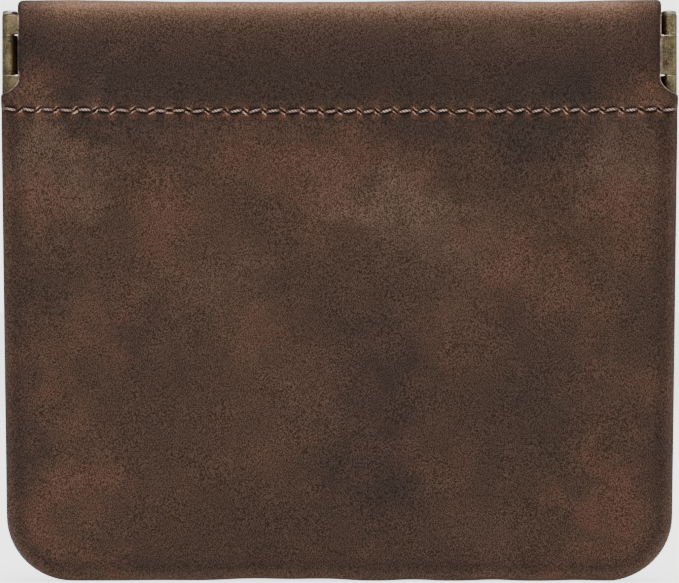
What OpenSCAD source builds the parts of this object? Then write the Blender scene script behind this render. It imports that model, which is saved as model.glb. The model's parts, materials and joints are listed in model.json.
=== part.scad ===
// Coin purse with a squeeze mouth. A flat pouch of oiled leather is sewn inside out and turned.
// Its mouth is a stitched channel that hides two sprung metal strips, hinged together at both ends.
// Pressing the two hinges towards each other bows the strips apart and opens the mouth.
//
// Lengths are in millimetres. X runs along the mouth, Z is up, and the front faces -Y.
// The origin lies under the middle of the bottom seam. "Depth" is the distance from the plane
// y = 0, where the front and the back half of the purse meet.
// The strips and the channel bend in real life. Here each is a row of rigid links.

/* [Pouch] */
// Width over the side seams at the mouth
pouch_w = 110; // [96:1:130]
// Height from the bottom seam to the fold at the mouth
pouch_h = 94.2; // [86:0.2:110]
// How much narrower the pouch is at its foot, both sides together
foot_taper = 2; // [0:0.2:5]
// Radius of the two bottom corners
corner_r = 11.2; // [7:0.2:16]
// Thickness of the leather
leather_t = 1.3; // [1:0.1:1.6]
// Radius over which the turned seams round from the face to the edge
seam_round = 2.6; // [1.8:0.1:3.4]
// Depth of the groove along the turned seams
seam_groove = 0.5; // [0.2:0.1:0.8]
// Width of the seam allowance turned to the inside
allowance_w = 4; // [3:0.5:6]
// Height of the lower walls, which stay still while the mouth opens
still_h = 46; // [36:1:54]

/* [Mouth] */
// Thickness of the thinned flap that is folded to the inside
flap_t = 0.8; // [0.6:0.1:1.1]
// Gap between the two closed lips
lip_gap = 0.3; // [0.2:0.05:0.5]
// How far the channel stops short of each side, where the hinge shows
hinge_window = 2.8; // [2.6:0.1:3.6]
// Height of the closed web under the strip
web_h = 0.8; // [0.5:0.1:1.2]
// Play of a strip in its channel, on each side
strip_play = 0.15; // [0.1:0.05:0.3]

/* [Stitching] */
// Distance from one stitch to the next
stitch_pitch = 3; // [2.5:0.1:4]
// Length of one stitch
stitch_l = 2.3; // [1.8:0.1:2.4]
// Diameter of the sewing thread
thread_d = 0.8; // [0.5:0.1:1]
// Slant of the stitches, in degrees
stitch_slant = 8; // [0:1:15]
// Distance from the channel's lower edge down to the stitches
stitch_drop = 0.8; // [0.75:0.05:1.5]

/* [Frame] */
// Height of the sprung strips
strip_h = 14.4; // [12.4:0.2:16]
// Thickness of a strip's face plate, which also curls into the knuckles
plate_t = 0.5; // [0.4:0.05:0.6]
// Thickness of the lips rolled along a strip's edges
lip_t = 0.35; // [0.25:0.05:0.45]
// How far the rolled lips reach over the spring
lip_w = 1.8; // [1.2:0.1:2.6]
// Thickness of the spring between plate and lips
spring_t = 0.3; // [0.2:0.05:0.4]
// Play of the spring between plate and lips, on each side
spring_play = 0.08; // [0.05:0.01:0.12]
// Length of the crank that brings a strip's plate in to the knuckles
crank_l = 2; // [1.6:0.1:3]
// Height of a strip's top and bottom knuckles
end_knuckle_h = 3.75; // [3:0.05:4.2]
// Gap between neighbouring knuckles
knuckle_gap = 0.35; // [0.2:0.05:0.5]
// Diameter of the hinge pins
pin_d = 1.5; // [1.2:0.1:1.8]
// Diameter of the pins' domed heads
head_d = 2.2; // [1.9:0.1:2.4]
// Height of the pins' domed heads
head_h = 0.45; // [0.3:0.05:0.7]

/* [Hidden] */
links = 7;
strip_joint = 0.2;
channel_joint = 0.35;
soft_gap = 0.3;
wall_joint = 1.4;
wall_edge = 0.7;
pin_play = 0.05;
head_play = 0.05;
notch_play = 0.15;
crank_play = 0.04;
curl_gap = 0.15;
peen_h = 0.2;
round_steps = 6;
thread_sides = 8;
over = 1;
smooth = 64;

// Depths, from the inner lip outwards
flap_in = lip_gap / 2;
channel_in = flap_in + flap_t;
strip_in = channel_in + strip_play;
lip_out = strip_in + lip_t;
slot_t = spring_t + 2 * spring_play;
plate_in = lip_out + slot_t;
strip_out = plate_in + plate_t;
channel_out = strip_out + strip_play;
skin = channel_out + leather_t;

// Heights, from the fold down
channel_top = pouch_h - leather_t;
strip_top = channel_top - strip_play;
strip_low = strip_top - strip_h;
channel_low = strip_low - strip_play;
channel_foot = channel_low - web_h;
wall_top = channel_foot - soft_gap;
stitch_z = channel_foot - stitch_drop;

// Hinges
bore_r = pin_d / 2 + pin_play;
knuckle_r = bore_r + plate_t;
pin_x = pouch_w / 2 - knuckle_r;
link_l = 2 * pin_x / links;
channel_x = pouch_w / 2 - hinge_window;
inner_face = knuckle_r - plate_t;
crank_rise = (plate_in - inner_face) / crank_l;
crank_x = channel_x + (channel_in + crank_play - inner_face) / crank_rise;
crank_end = crank_x - crank_l;
middle_low = strip_low + end_knuckle_h + knuckle_gap;
middle_high = strip_top - end_knuckle_h - knuckle_gap;

leather = [0.31, 0.23, 0.19];
edge_leather = [0.38, 0.27, 0.21];
brass = [0.47, 0.41, 0.31];
spring_steel = [0.45, 0.45, 0.47];
thread = [0.33, 0.22, 0.18];

// X of a row's joint, from 0 at the left pin to links at the right pin
function joint_x(i) = -pin_x + i * link_l;

// Places a front piece at the back. The two strips are one part, turned half round.
module back() {
    rotate([0, 0, 180]) children();
}

// A profile drawn in (y, z), drawn out along X
module along_x(from, to) {
    translate([from, 0, 0])
        rotate([90, 0, 90])
            linear_extrude(to - from) children();
}

// A rectangle in (y, z) on the front side, between two depths and two heights
module front_rect(depth_a, depth_b, z_a, z_b) {
    translate([-depth_b, z_a]) square([depth_b - depth_a, z_b - z_a]);
}

// ---- Sprung strips ----

// A strip's section: a plate whose long edges roll in over the spring
module strip_section() {
    difference() {
        front_rect(strip_in, strip_out, strip_low, strip_top);
        front_rect(lip_out, plate_in, strip_low + lip_t, strip_top - lip_t);
        front_rect(strip_in - over, plate_in, strip_low + lip_w, strip_top - lip_w);
    }
}

// One knuckle: the plate curled round the pin, with the gap where the curl ends
module knuckle(z_a, z_b) {
    translate([-pin_x, 0, z_a])
        difference() {
            cylinder(r = knuckle_r, h = z_b - z_a, $fn = smooth);
            translate([bore_r / 2, curl_gap - bore_r, -over])
                cube([knuckle_r, curl_gap, z_b - z_a + 2 * over]);
        }
}

// A strip's left end: the cranked plate, notched for the other strip's knuckles
module strip_end(knuckles, notches) {
    difference() {
        union() {
            translate([0, 0, strip_low])
                linear_extrude(strip_h)
                    polygon([
                        [-pin_x, -knuckle_r],
                        [-crank_x, -knuckle_r],
                        [-crank_end, -strip_out],
                        [-crank_end, -plate_in],
                        [-crank_x, -inner_face],
                        [bore_r / 2 - pin_x, -inner_face]
                    ]);
            for (k = knuckles) knuckle(k[0], k[1]);
        }
        for (n = notches)
            translate([-pin_x - knuckle_r - over, -strip_out, n[0]])
                cube([2 * knuckle_r + over + notch_play, 2 * strip_out, n[1] - n[0]]);
        translate([-pin_x, 0, strip_low - over])
            cylinder(r = bore_r, h = strip_h + 2 * over, $fn = smooth);
    }
}

// Where one strip has knuckles the other has a notch
outer_knuckles = [[strip_low, strip_low + end_knuckle_h], [strip_top - end_knuckle_h, strip_top]];
middle_knuckle = [[middle_low, middle_high]];
middle_notch = [[strip_low + end_knuckle_h, strip_top - end_knuckle_h]];
outer_notches = [[strip_low - over, middle_low], [middle_high, strip_top + over]];

module strip_run(from, to) {
    along_x(from, to) strip_section();
}

// Link i of the front strip: two outer knuckles at its left end, one middle one at its right
module strip_link(i) {
    from = i == 1 ? -crank_end : joint_x(i - 1) + strip_joint / 2;
    to = i == links ? crank_end : joint_x(i) - strip_joint / 2;
    color(brass) {
        strip_run(from, to);
        if (i == 1) strip_end(outer_knuckles, middle_notch);
        if (i == links) mirror([1, 0, 0]) strip_end(middle_knuckle, outer_notches);
    }
}

// Link i of the flat spring inside the front strip
module spring_link(i) {
    from = i == 1 ? -crank_end : joint_x(i - 1) + strip_joint / 2;
    to = i == links ? crank_end : joint_x(i) - strip_joint / 2;
    color(spring_steel)
        along_x(from, to)
            front_rect(lip_out + spring_play, plate_in - spring_play,
                strip_low + lip_t + spring_play, strip_top - lip_t - spring_play);
}

// ---- Leather channel at the mouth ----

// The wall folds over the top, comes down inside and is sewn to itself under the strip
module channel_link(i) {
    from = i == 1 ? -channel_x : joint_x(i - 1) + channel_joint / 2;
    to = i == links ? channel_x : joint_x(i) - channel_joint / 2;
    lip_r = (skin - flap_in) / 2;
    fold_z = pouch_h - lip_r;
    color(leather)
        difference() {
            union() {
                along_x(from, to)
                    polygon([
                        [-skin, channel_foot],
                        [-skin, fold_z],
                        [-flap_in, fold_z],
                        [-flap_in, channel_low],
                        [-channel_in, channel_foot]
                    ]);
                translate([from, -flap_in - lip_r, fold_z])
                    rotate([0, 90, 0]) cylinder(r = lip_r, h = to - from, $fn = smooth);
            }
            along_x(from - over, to + over)
                front_rect(channel_in, channel_out, channel_low, channel_top);
        }
}

// ---- Pouch walls ----

// The corners' centre line is corner_r inside the outline. A section is drawn in (r, depth), where
// r is the distance outwards from that line, so r is corner_r at the seam.
corner_x = (pouch_w - foot_taper) / 2 - corner_r;
side_rise = wall_top - corner_r;
side_lean = atan2(pouch_w / 2 - corner_x, side_rise)
    - asin(corner_r / norm([pouch_w / 2 - corner_x, side_rise]));

// A section swept round the pouch's sides and foot, on the front side
module round_pouch() {
    rotate([90, 0, 0]) {
        translate([corner_x, corner_r, 0])
            rotate([90, 0, 270])
                linear_extrude(2 * corner_x) children();
        for (side = [0, 1])
            mirror([side, 0, 0])
                translate([-corner_x, corner_r, 0]) {
                    rotate([0, 0, 180 + side_lean])
                        rotate_extrude(angle = 90 - side_lean, $fn = smooth) children();
                    rotate([90, 0, 180 + side_lean])
                        linear_extrude(side_rise + over) children();
                }
    }
}

// The quarter circle of a seam, in (r, depth), out to a face and an edge
function seam_arc(edge, face, radius) = [
    for (k = [0:round_steps])
        let (a = 90 * k / round_steps)
            [edge - radius * (1 - cos(a)), face - radius * (1 - sin(a))]
];

// The wall's section: it rounds over from the face to the groove at the seam
module wall_section() {
    inner_round = seam_round - leather_t / 2;
    inner_arc = seam_arc(corner_r - leather_t, channel_out, inner_round);
    polygon(concat(
        [[corner_r - seam_groove, 0]],
        seam_arc(corner_r, skin, seam_round),
        [[0, skin], [0, channel_out]],
        [for (k = [round_steps:-1:0]) inner_arc[k]],
        [[corner_r - leather_t, 0]]
    ));
}

// The edge of the wall that is turned in along the seam and sewn to the other wall
module allowance_section() {
    translate([corner_r - leather_t - allowance_w, 0])
        square([allowance_w + leather_t - seam_groove, leather_t]);
}

// The flat middle of the front wall, inside the corners' centre line
module wall_middle() {
    top_x = corner_x + (side_rise + over) * sin(side_lean);
    top_z = corner_r + (side_rise + over) * cos(side_lean);
    translate([0, -channel_out, 0])
        rotate([90, 0, 0])
            linear_extrude(leather_t)
                polygon([[-corner_x, corner_r], [corner_x, corner_r], [top_x, top_z], [-top_x, top_z]]);
}

// The lower part of the front wall, with its seam allowance
module panel() {
    color(leather)
        intersection() {
            union() {
                wall_middle();
                round_pouch() {
                    wall_section();
                    allowance_section();
                }
            }
            translate([-pouch_w, -2 * skin, -over])
                cube([2 * pouch_w, 2 * skin, still_h + over]);
        }
}

// The upper left quarter of the wall, which swings out as the mouth opens
module quarter_wall() {
    color(leather)
        intersection() {
            union() {
                wall_middle();
                round_pouch() wall_section();
            }
            translate([-pouch_w, -2 * skin, still_h + soft_gap])
                cube([pouch_w - wall_joint / 2, 2 * skin - wall_edge, wall_top - still_h - soft_gap]);
        }
}

// ---- Thread ----

// One stitch lying on the face of the wall
module stitch() {
    rotate([0, stitch_slant, 0])
        difference() {
            rotate([0, 90, 0]) cylinder(d = thread_d, h = stitch_l, center = true, $fn = smooth);
            translate([-stitch_l, 0, -stitch_l]) cube(2 * stitch_l);
        }
}

// The stitches under the channel, on the upper left quarter
module quarter_stitches() {
    count = floor((pouch_w / 2 - stitch_pitch / 4) / stitch_pitch);
    color(thread)
        for (k = [1:count])
            translate([(0.5 - k) * stitch_pitch, -skin, stitch_z]) stitch();
}

// One run of the seam thread, on the inner face of the front's allowance
module seam_run() {
    intersection() {
        round_pouch()
            translate([corner_r - leather_t - allowance_w / 2, leather_t + thread_d / 2])
                circle(d = thread_d, $fn = thread_sides);
        translate([-pouch_w, -2 * skin, -over])
            cube([2 * pouch_w, 2 * skin, still_h - soft_gap + over]);
    }
}

module seam_thread() {
    color(thread) {
        seam_run();
        back() seam_run();
    }
}

// ---- Hinge pins ----

// A plain pin with a domed head on top and its foot peened over below
module hinge_pin() {
    foot_z = strip_low - head_play;
    head_z = strip_top + head_play;
    peen_r = (pin_d + head_d) / 4;
    dome_r = (head_d * head_d / 4 + head_h * head_h) / (2 * head_h);
    dome_a = asin(head_d / 2 / dome_r);
    color(brass)
        rotate_extrude($fn = smooth)
            polygon(concat(
                [[0, foot_z - peen_h], [pin_d / 2, foot_z - peen_h], [peen_r, foot_z]],
                [[pin_d / 2, foot_z], [pin_d / 2, head_z]],
                [for (k = [round_steps:-1:0])
                    let (a = dome_a * k / round_steps)
                        [dome_r * sin(a), head_z + head_h - dome_r * (1 - cos(a))]]
            ));
}

for (i = [1:links]) {
    strip_link(i);
    back() strip_link(links + 1 - i);
    spring_link(i);
    back() spring_link(links + 1 - i);
    channel_link(i);
    back() channel_link(links + 1 - i);
}
translate([-pin_x, 0, 0]) hinge_pin();  // left_hinge_pin
translate([pin_x, 0, 0]) hinge_pin();  // right_hinge_pin
panel();  // front_panel
back() panel();  // back_panel
seam_thread();
quarter_wall();  // front_left_wall
mirror([1, 0, 0]) quarter_wall();  // front_right_wall
back() mirror([1, 0, 0]) quarter_wall();  // back_left_wall
back() quarter_wall();  // back_right_wall
quarter_stitches();  // front_left_stitches
mirror([1, 0, 0]) quarter_stitches();  // front_right_stitches
back() mirror([1, 0, 0]) quarter_stitches();  // back_left_stitches
back() quarter_stitches();  // back_right_stitches
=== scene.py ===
"""A coin purse with a squeeze mouth: oiled leather, thread and an antique brass frame.

The CAD frame is loaded first and never moved. The leather is four quarters, each one sheet that runs from
the bottom seam up the wall, over the fold and down inside the mouth. Building functions use millimetres.
A leather point is given by x (distance from the middle), depth (distance from the plane between front and
back) and z (height).
"""

import json
import math

import bmesh
import bpy
import numpy as np
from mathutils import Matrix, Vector

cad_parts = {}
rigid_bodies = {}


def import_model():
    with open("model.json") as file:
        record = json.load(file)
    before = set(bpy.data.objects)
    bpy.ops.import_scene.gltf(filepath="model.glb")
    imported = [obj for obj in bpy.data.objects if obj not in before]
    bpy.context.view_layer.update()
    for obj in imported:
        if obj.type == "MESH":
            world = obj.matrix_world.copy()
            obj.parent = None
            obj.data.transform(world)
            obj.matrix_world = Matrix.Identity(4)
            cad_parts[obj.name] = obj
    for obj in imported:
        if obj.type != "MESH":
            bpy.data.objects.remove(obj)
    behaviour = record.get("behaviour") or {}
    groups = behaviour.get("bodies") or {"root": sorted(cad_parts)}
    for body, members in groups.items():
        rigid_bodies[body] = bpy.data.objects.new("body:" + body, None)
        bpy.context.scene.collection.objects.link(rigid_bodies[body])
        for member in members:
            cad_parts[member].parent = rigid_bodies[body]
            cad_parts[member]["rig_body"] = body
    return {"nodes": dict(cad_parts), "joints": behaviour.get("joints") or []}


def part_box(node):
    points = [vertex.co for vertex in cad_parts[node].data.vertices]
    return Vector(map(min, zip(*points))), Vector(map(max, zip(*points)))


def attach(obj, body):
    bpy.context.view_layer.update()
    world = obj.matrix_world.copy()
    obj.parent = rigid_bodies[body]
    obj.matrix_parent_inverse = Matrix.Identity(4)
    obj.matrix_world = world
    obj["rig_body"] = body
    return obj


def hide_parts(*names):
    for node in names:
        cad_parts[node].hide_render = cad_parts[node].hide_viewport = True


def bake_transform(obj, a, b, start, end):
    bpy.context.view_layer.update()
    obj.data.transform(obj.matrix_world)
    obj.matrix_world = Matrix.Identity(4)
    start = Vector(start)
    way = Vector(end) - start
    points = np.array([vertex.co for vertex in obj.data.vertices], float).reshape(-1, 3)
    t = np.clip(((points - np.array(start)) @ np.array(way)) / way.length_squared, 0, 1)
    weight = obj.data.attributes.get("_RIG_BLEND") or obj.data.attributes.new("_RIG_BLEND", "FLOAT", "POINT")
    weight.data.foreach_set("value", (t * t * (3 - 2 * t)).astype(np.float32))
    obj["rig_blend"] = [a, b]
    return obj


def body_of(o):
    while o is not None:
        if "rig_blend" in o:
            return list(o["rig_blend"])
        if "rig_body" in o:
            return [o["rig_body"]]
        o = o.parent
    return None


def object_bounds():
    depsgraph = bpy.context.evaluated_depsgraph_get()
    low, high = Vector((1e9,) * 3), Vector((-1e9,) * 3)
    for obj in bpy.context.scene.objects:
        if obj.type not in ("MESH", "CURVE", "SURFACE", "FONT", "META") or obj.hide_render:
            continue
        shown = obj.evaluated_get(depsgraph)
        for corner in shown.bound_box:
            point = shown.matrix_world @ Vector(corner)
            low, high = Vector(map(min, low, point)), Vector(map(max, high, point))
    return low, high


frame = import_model()
cad_low, cad_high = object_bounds()
MM = 0.001

# ---- Sizes, read from the CAD frame ----

channel_low, channel_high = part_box("front_channel_1")
strip_low, strip_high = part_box("front_strip_4")
pin_low, pin_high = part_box("left_hinge_pin")
HALF_W = -cad_low.x / MM
TOP = channel_high.z / MM
# depth of the outer face, and of the flap's face inside the mouth
SKIN = -channel_low.y / MM
LIP = -channel_high.y / MM
# where the channel ends, and its lower edge
CHANNEL_X = -channel_low.x / MM
FOOT = channel_low.z / MM
STRIP_MID = -(strip_low.y + strip_high.y) / 2 / MM
STRIP_FOOT = strip_low.z / MM
STRIP_TOP = strip_high.z / MM
PIN_X = -(pin_low.x + pin_high.x) / 2 / MM
PIN_FOOT = pin_low.z / MM
HINGES = {joint["name"]: joint for joint in frame["joints"]}

# ---- Sizes of the leather ----

LEATHER_T = 1.3
LINER = SKIN - LEATHER_T
CORNER_R = 10.7
# how far each side stands out at the channel's foot, and how much it draws in down to the corner
SIDE_OUT = 0.05
FOOT_TAPER = 0.9
CORNER_X = HALF_W + SIDE_OUT - FOOT_TAPER - CORNER_R
# the roundness of the turned seam, and the width of the rim that is built round each sheet
SEAM_R = 2.6
RIM = 6.0
# the side seam parts into two loose edges between these heights
PART_FROM = 75.9
PART_TO = 78.1
# the fold over the strip, and the thinned flap inside
FOLD_R = (SKIN - LIP) / 2
FOLD_D = (SKIN + LIP) / 2
FOLD_Z = TOP - FOLD_R
FOLD_CORNER = 0.45
FLAP_T = 0.8
FLAP_END = 74.8
# how much deeper the flap lies below the strip, against the wall
FLAP_STEP = 1.5
# the shoulder from the side up to the channel's end: heights, and half widths there
SHOULDER_Z = [78.4, 78.85, 79.0, 79.2, 79.5, 80.0, 80.6, 81.2, 82.0, 83.0]
SHOULDER_X = [54.94, 54.92, 54.78, 54.4, 53.65, 53.05, 52.45, 52.15, 52.06, CHANNEL_X]
STITCHES = 36
PITCH = 2 * HALF_W / STITCHES
# columns of points up to the middle, which lie under the neighbouring quarter
TONGUE = 3
QUARTERS = [("front", "left"), ("front", "right"), ("back", "left"), ("back", "right")]


def smooth(low, high, value):
    """0 below low, 1 above high, and a smooth step between"""
    t = np.clip((value - low) / (high - low), 0, 1)
    return t * t * (3 - 2 * t)


def hump(value, width):
    """1 where the value is 0, falling away smoothly on both sides"""
    return np.exp(-((value / width) ** 2))


def waves(x, z, size, seed, count=16):
    """A smooth random field whose features are about size across, of unit spread"""
    rng = np.random.default_rng(seed)
    total = np.zeros(np.broadcast(x, z).shape)
    for _ in range(count):
        turn, rate, start = rng.uniform(0, 2 * math.pi), rng.uniform(0.5, 1.5), rng.uniform(0, 2 * math.pi)
        along = x * math.cos(turn) + z * math.sin(turn)
        total = total + np.sin(rate * 2 * math.pi / size * along + start)
    return total / math.sqrt(count / 2)


def add_object(name, data):
    """Puts a mesh, a light or a camera into the scene"""
    made = bpy.data.objects.new(name, data)
    bpy.context.scene.collection.objects.link(made)
    return made


def shade_smooth(mesh):
    mesh.polygons.foreach_set("use_smooth", np.ones(len(mesh.polygons), bool))


# ---- Where the stitches run ----

rng = np.random.default_rng(7)
HOLES = {
    face: np.linspace(-HALF_W, HALF_W, STITCHES + 1) + rng.uniform(-0.16, 0.16, STITCHES + 1)
    for face in ("front", "back")
}


def stitch_line(x):
    """Height of the stitches: they sag a little towards the middle and wander"""
    return FOOT - 0.8 - 0.32 * (1 - (x / HALF_W) ** 2) + 0.05 * np.sin(x * 0.9) + 0.04 * np.sin(x * 2.3 + 1)


def stitch_count(x, face):
    """How many stitches lie to the left of x, with the part of a stitch"""
    return np.interp(x, HOLES[face], np.arange(STITCHES + 1))


def stitch_lean(x, face):
    """1 where the stitches climb to the right, -1 where they fall, seen from outside"""
    return np.tanh(((x if face == "front" else -x) + 28) / 4)


# ---- The leather's shape ----


def side_x(z):
    """Half width of the leather above the bottom corners, with the shoulder up to the channel's end"""
    side = HALF_W + SIDE_OUT - FOOT_TAPER * (FOOT - z) / (FOOT - CORNER_R)
    side = np.minimum(side, HALF_W - 0.06 * smooth(76.9, 77.8, z))
    shoulder = np.interp(z, SHOULDER_Z, SHOULDER_X)
    over = np.maximum(z - TOP + FOLD_CORNER, 0)
    corner = FOLD_CORNER - np.sqrt(np.maximum(FOLD_CORNER**2 - over**2, 0))
    return np.where(z < SHOULDER_Z[0], side, shoulder - corner)


def relief(x, z, inset, face):
    """How far the outer face stands out of its mean plane, by the distance in from the outline"""
    seed = 11 if face == "front" else 31
    out = 0.055 * waves(x, z, 24, seed) + 0.03 * waves(x, z, 9, seed + 1) + 0.012 * waves(x, z, 3.4, seed + 2)
    # two layers of leather under the outer one: the flap at the top, the seam allowance round the edge
    flap = smooth(FLAP_END - 0.55, FLAP_END + 0.35, z + 0.25 * waves(x, 0 * x, 14, seed + 3))
    out = out - 0.2 * (1 - flap) * smooth(52, 70, z)
    edge = 5.2 + 0.3 * waves(x, z, 11, seed + 4)
    out = out + 0.16 * (1 - smooth(edge - 0.7, edge + 0.7, inset)) * (1 - smooth(70, 76, z))
    # the seam pulls the leather in between its stitches
    out = out - 0.07 * np.exp(-inset / 2.2) * (1 + waves(x, z, 3.3, seed + 5)) * (1 - smooth(74, 78, z))
    # the row of stitches sits in a furrow, with a pit at each hole and a swelling above and below it
    row = z - stitch_line(x)
    near = np.abs(x[..., None] - HOLES[face]).min(axis=-1)
    out = out - 0.26 * hump(row, 0.75) - 0.1 * hump(row, 2.2)
    out = out - 0.3 * hump(near, 0.38) * hump(row, 0.34)
    out = out + 0.09 * hump(near, 0.75) * hump(np.abs(row) - 0.75, 0.35)
    # the metal strip shows through as a flat band
    return out - 0.07 * hump(z - STRIP_FOOT + 0.35, 0.5) + 0.04 * smooth(80, 82, z)


ROUND = [math.radians(angle) for angle in (75, 60, 45, 30, 15, 0)]
# The turned seam in section, from the face to the liner: (distance in from the edge, depth)
SEAM = np.array(
    [(RIM, SKIN), (5, SKIN), (4, SKIN), (3.2, SKIN), (SEAM_R, SKIN)]
    + [(SEAM_R * (1 - math.cos(a)), SKIN - SEAM_R * (1 - math.sin(a))) for a in ROUND]
    + [(0.0, 0.85), (0.12, 0.42), (0.45, 0.06), (1.0, 0.0), (2.4, 0.0), (4.6, 0.0)]
    + [(5.0, 0.3), (5.08, 0.75), (4.95, 1.2), (4.4, 1.34), (2.8, 1.34), (1.7, 1.38)]
    + [(1.32, 1.7), (1.5, 2.2), (2.0, 2.47), (3.0, LINER), (4.0, LINER), (5.0, LINER), (RIM, LINER)]
)
# The cut edge at the channel's end: (distance in from the edge, share of the way through the leather)
CUT = np.array(
    [(RIM, 0), (5, 0), (4, 0), (3.2, 0), (2.6, 0), (2.0, 0), (1.4, 0), (0.9, 0), (0.5, 0)]
    + [(0.22, 0.04), (0.06, 0.14), (0, 0.3), (0, 0.45), (0, 0.6), (0, 0.74), (0.03, 0.86)]
    + [(0.1, 0.94), (0.22, 0.98), (0.4, 1), (0.6, 1), (0.9, 1), (1.2, 1), (1.5, 1), (1.8, 1)]
    + [(2.2, 1), (2.6, 1), (3.2, 1), (4, 1), (5, 1), (RIM, 1)]
)
LAST = len(SEAM) - 1


def rows():
    """The rows above the bottom corner, closer together at the stitches and at the shoulder. A row is given
    as (outer depth, outer z, inner depth, inner z, openness of the side)."""
    wall = list(np.arange(CORNER_R, 72.5, 1.25)) + [73.2, 73.7, 74.1, 74.4, 74.7, 75.0, 75.3, 75.6, 75.85]
    wall += [76.05, 76.25, 76.45, 76.65, 76.85, 77.1, 77.4, 77.8, 78.2, 78.5, 78.7, 78.85, 79.0, 79.2, 79.5]
    wall += [80.0, 80.6, 81.2, 82, 83, 84.5, 86, 87.5, 89, 90.2, 91.3]
    flap = [91.3, 90, 88, 86, 84, 82, 80.5, 79.4, 78.8, 78.4, 78.0, 77.6, 77.2, 76.9, 76.6, 76.2, 75.8, 75.3]
    out = [(SKIN, z, LINER, z, float(smooth(PART_FROM, PART_TO, z))) for z in wall]
    inner_r = (LINER - LIP - FLAP_T) / 2
    for turn in np.linspace(0, math.pi, 17):
        c, s = math.cos(turn), math.sin(turn)
        inner_depth = LIP + FLAP_T + inner_r * (1 + c)
        out.append((FOLD_D + FOLD_R * c, FOLD_Z + FOLD_R * s, inner_depth, FOLD_Z + 0.1 + 0.5 * s, 1))
    for z in flap + [FLAP_END]:
        depth = LIP + FLAP_STEP * float(smooth(0, 1.9, STRIP_FOOT + 0.1 - z))
        out.append((depth, z, depth + FLAP_T, z, 1))
    return np.array(out)


def corner_edge(angles):
    """Points round the bottom corner, as (x, z, way in across, way in up)"""
    return [
        (CORNER_X + CORNER_R * math.cos(a), CORNER_R + CORNER_R * math.sin(a), -math.cos(a), -math.sin(a))
        for a in angles
    ]


def quarter_edge(past, level):
    """The outline of a right front quarter, from past the middle along the bottom and up the side"""
    lean = math.atan2(FOOT_TAPER, FOOT - CORNER_R)
    bottom = list(np.linspace(0, CORNER_X, 87))
    edge = [(x, 0.0, 0.0, 1.0) for x in past + bottom]
    edge += corner_edge(np.radians(np.linspace(-90, -45, 9)[1:]))
    columns = len(edge)
    edge += corner_edge(np.radians(np.linspace(-45, -math.degrees(lean), 9)[1:-1]))
    top_row = np.argmax(level[:, 1])
    for k, z in enumerate(level[:, 1]):
        # the flap ends inside the seam
        tuck = 0.5 * (1 - smooth(FOOT - 0.4, FOOT + 1, z)) if k > top_row else 0
        edge.append((float(side_x(z)) - tuck, z, -math.cos(lean), math.sin(lean)))
    return np.array(edge), columns


def quarter_ring(edge, level):
    """The seam's section swept along the outline. It turns into the cut edge where the seam parts."""
    ring = np.zeros((len(edge), LAST + 1, 3))
    ring[:, :, 0] = edge[:, None, 0] + SEAM[None, :, 0] * edge[:, None, 2]
    ring[:, :, 1] = SEAM[None, :, 1]
    ring[:, :, 2] = edge[:, None, 1] + SEAM[None, :, 0] * edge[:, None, 3]
    first = len(edge) - len(level)
    for k, (depth, z, inner_depth, inner_z, openness) in enumerate(level):
        across, through = edge[first + k, 0] - CUT[:, 0], CUT[:, 1]
        cut = np.stack([across, depth + (inner_depth - depth) * through, z + (inner_z - z) * through], axis=1)
        ring[first + k] = ring[first + k] * (1 - openness) + cut * openness
    return ring


def quarter_sheets(past, level, ring, columns):
    """The outer and inner sheets inside the ring, as grids of columns and rows"""
    base = ring[:columns, 0]
    shore = ring[columns - 1 :, 0]
    total_rows = len(shore)
    corner_rows = total_rows - len(level)
    outer = np.zeros((columns, total_rows, 3))
    share = np.concatenate([[0] * len(past), np.linspace(0, 1, columns - len(past))])
    for j in range(total_rows):
        outer[:, j, 0] = share * shore[j, 0]
        outer[:, j, 1] = shore[j, 1]
        outer[:, j, 2] = shore[j, 2]
    # below the crown row the sheet is a Coons patch, so that it follows the round corner
    crown = int(np.searchsorted(level[:, 1], 32)) + corner_rows
    steps = np.linalg.norm(np.diff(shore[: crown + 1, [0, 2]], axis=0), axis=1)
    climb = np.concatenate([[0], np.cumsum(steps)])
    climb = climb / climb[-1]
    for j in range(crown):
        t = climb[j]
        for axis in (0, 2):
            middle = 0.0 if axis == 0 else RIM + (shore[crown, 2] - RIM) * t
            low, high = base[:, axis], outer[:, crown, axis]
            c00 = 0.0 if axis == 0 else RIM
            c10, c01, c11 = base[-1, axis], outer[0, crown, axis], shore[crown, axis]
            lofted = (1 - share) * middle + share * shore[j, axis] + (1 - t) * low + t * high
            corners = (1 - share) * (1 - t) * c00 + share * (1 - t) * c10
            corners = corners + (1 - share) * t * c01 + share * t * c11
            outer[:, j, axis] = lofted - corners
    for i, x in enumerate(past):
        outer[i, :, 0] = x
        outer[i, :, 1:] = outer[len(past), :, 1:]
    inner = outer.copy()
    inner[:, :corner_rows, 1] = LINER
    inner[:, corner_rows:, 1] = level[:, 2]
    inner[:, corner_rows:, 2] = level[:, 3]
    return outer, inner


def grid(ids):
    """The faces between neighbouring points of a grid"""
    return np.stack([ids[:-1, :-1], ids[1:, :-1], ids[1:, 1:], ids[:-1, 1:]], axis=-1).reshape(-1, 4)


def quarter_ids(columns, total_rows, samples):
    """The points' numbers. The two sheets own their borders, and the ring owns the rest."""
    outer_ids = np.arange(columns * total_rows).reshape(columns, total_rows)
    inner_ids = outer_ids + columns * total_rows
    ring_ids = np.zeros((samples, LAST + 1), int)
    own = np.arange(samples * (LAST - 1)).reshape(samples, LAST - 1)
    ring_ids[:, 1:LAST] = 2 * columns * total_rows + own
    for s in range(samples):
        at = (s, 0) if s < columns else (columns - 1, s - columns + 1)
        ring_ids[s, 0], ring_ids[s, LAST] = outer_ids[at], inner_ids[at]
    return outer_ids, inner_ids, ring_ids


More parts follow.
